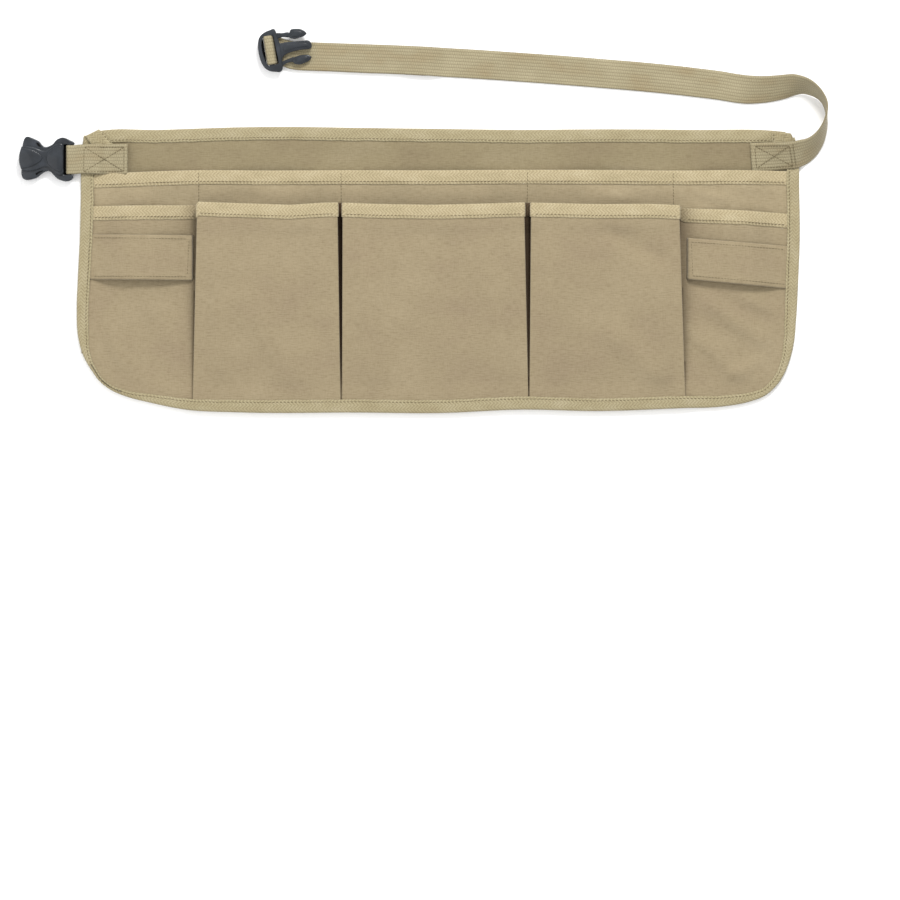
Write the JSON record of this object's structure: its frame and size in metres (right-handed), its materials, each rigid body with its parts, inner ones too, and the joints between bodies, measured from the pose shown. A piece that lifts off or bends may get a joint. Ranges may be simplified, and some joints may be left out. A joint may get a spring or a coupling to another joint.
{
  "type": "carpenter nail apron",
  "caption": "Canvas waist apron lying flat, with rows of shallow and pleated deep pockets, tool loops and a webbing waist strap with a side-release buckle.",
  "frame": {"origin": "middle of the back panel's underside, on the surface that the apron lies on", "axes": "+X right across the apron's front, +Y up to the waist edge, +Z out of the front"},
  "size_m": [0.6723, 0.3168, 0.0248],
  "materials": {
    "canvas": "plain-woven khaki polyester canvas, matt",
    "tape": "paler khaki twill binding tape, matt",
    "webbing": "ribbed khaki polypropylene webbing",
    "plastic": "moulded charcoal acetal, satin"
  },
  "bodies": {
    "root": {"back_panel": "canvas", "upper_pocket_panel": "canvas", "lower_pocket_left": "canvas", "lower_pocket_inner_left": "canvas", "lower_pocket_middle": "canvas", "lower_pocket_inner_right": "canvas", "lower_pocket_right": "canvas", "tool_loop_left": "canvas", "tool_loop_right": "canvas", "top_binding": "tape", "edge_binding": "tape", "corner_fold_left": "tape", "corner_fold_right": "tape", "upper_pocket_binding": "tape", "lower_pocket_binding_left": "tape", "lower_pocket_binding_right": "tape", "lower_pocket_binding_inner_left": "tape", "lower_pocket_binding_middle": "tape", "lower_pocket_binding_inner_right": "tape", "buckle_tab": "webbing", "waist_strap": "webbing", "buckle_socket": "plastic", "buckle_plug": "plastic"}
  },
  "joints": []
}
